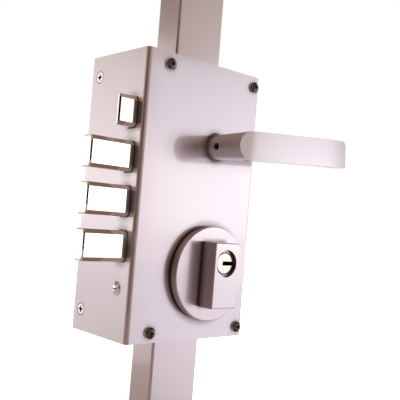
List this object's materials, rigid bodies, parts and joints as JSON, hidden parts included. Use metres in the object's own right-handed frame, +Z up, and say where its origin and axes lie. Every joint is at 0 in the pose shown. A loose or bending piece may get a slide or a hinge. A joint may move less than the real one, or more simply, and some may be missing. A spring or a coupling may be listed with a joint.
{
  "type": "door lock",
  "caption": "Surface-mounted multi-point door lock with thrown deadbolts, a spring latch, a lever handle, a profile cylinder in a guard block and vertical rods in folded channels.",
  "frame": {"origin": "where the key cylinder's axis meets the door face, which is the centre of the lower door screws", "axes": "+Z up, +X to the right seen from the room, +Y into the door; the front faces -Y"},
  "size_m": [0.2094, 0.1455, 0.49],
  "materials": {
    "case_metal": "satin",
    "handle_metal": "satin",
    "chrome": "polished",
    "zinc_steel": "zinc plated",
    "black_screw": "black oxide",
    "spring_steel": "drawn wire",
    "nickel_brass": "nickel plated",
    "brass": "turned",
    "nylon": "moulded, black"
  },
  "bodies": {
    "lock_case": {"case_cover": "case_metal", "back_plate": "zinc_steel", "mechanism_plate": "zinc_steel", "plate_pillars": "zinc_steel", "plate_screws": "zinc_steel", "cover_posts": "zinc_steel", "cover_screws": "black_screw", "cover_washers": "zinc_steel", "side_screws": "zinc_steel", "carriage_guides": "zinc_steel", "latch_bracket": "zinc_steel", "latch_spring": "spring_steel", "handle_bush": "nylon", "handle_return_spring": "spring_steel", "rosette_disc": "case_metal", "cylinder_guard": "case_metal", "guard_screws": "zinc_steel", "cylinder_body": "nickel_brass", "outer_plug": "nickel_brass", "outer_key_pins": "brass", "driver_pins": "brass", "pin_springs": "spring_steel", "cylinder_screw": "zinc_steel", "upper_rod_cover": "case_metal", "lower_rod_cover": "case_metal", "upper_rod_guides": "nylon", "lower_rod_guides": "nylon", "rod_cover_screws": "black_screw"},
    "deadbolts": {"deadbolt_bottom": "chrome", "deadbolt_middle": "chrome", "deadbolt_top": "chrome", "bolt_carriage": "zinc_steel", "bolt_screws": "zinc_steel"},
    "drive": {"drive_sector": "zinc_steel", "bolt_pinion": "zinc_steel", "rod_pinion": "zinc_steel", "drive_arbor": "zinc_steel"},
    "key_plug": {"inner_plug": "nickel_brass", "cam_gear": "zinc_steel", "inner_key_pins": "brass"},
    "upper_rod_set": {"upper_rack": "zinc_steel", "upper_rod": "zinc_steel", "upper_rod_rivets": "zinc_steel"},
    "lower_rod_set": {"lower_rack": "zinc_steel", "lower_rod": "zinc_steel", "lower_rod_rivets": "zinc_steel"},
    "handle": {"lever_handle": "handle_metal", "handle_grub_screw": "black_screw", "spindle": "zinc_steel", "follower": "zinc_steel", "follower_clip": "zinc_steel"},
    "latch": {"latch_bolt": "chrome"}
  },
  "joints": [
    {"name": "bolt_throw", "type": "slide", "parent": "lock_case", "child": "deadbolts", "axis": [1, 0, 0], "range_m": [0, 0.03298]},
    {"name": "drive_turn", "type": "hinge", "parent": "lock_case", "child": "drive", "pos_m": [-0.004, -0.03, 0.03578], "axis": [0, 1, 0], "range_deg": [-180, 0]},
    {"name": "key_turn", "type": "hinge", "parent": "lock_case", "child": "key_plug", "pos_m": [0, -0.06, 0], "axis": [0, 1, 0], "range_deg": [0, 360]},
    {"name": "upper_rod_slide", "type": "slide", "parent": "lock_case", "child": "upper_rod_set", "axis": [0, 0, 1], "range_m": [-0.02042, 0]},
    {"name": "lower_rod_slide", "type": "slide", "parent": "lock_case", "child": "lower_rod_set", "axis": [0, 0, 1], "range_m": [0, 0.02042]},
    {"name": "handle_turn", "type": "hinge", "parent": "lock_case", "child": "handle", "pos_m": [0, -0.063, 0.0792], "axis": [0, 1, 0], "range_deg": [0, 40], "stiffness_Nm_per_rad": 0.5, "springref_deg": -22.92, "deforming": ["handle_return_spring"]},
    {"name": "latch_slide", "type": "slide", "parent": "lock_case", "child": "latch", "axis": [1, 0, 0], "range_m": [0, 0.0135], "stiffness_N_per_m": 300, "springref_m": -0.012, "deforming": ["latch_spring"]}
  ],
  "couplings": [
    {"joint": "drive_turn", "follows": "bolt_throw", "rad_per_m": -95.238},
    {"joint": "key_turn", "follows": "bolt_throw", "rad_per_m": 190.48},
    {"joint": "upper_rod_slide", "follows": "bolt_throw", "ratio": -0.61905},
    {"joint": "lower_rod_slide", "follows": "bolt_throw", "ratio": 0.61905},
    {"joint": "latch_slide", "follows": "handle_turn", "m_per_rad": 0.019337}
  ]
}
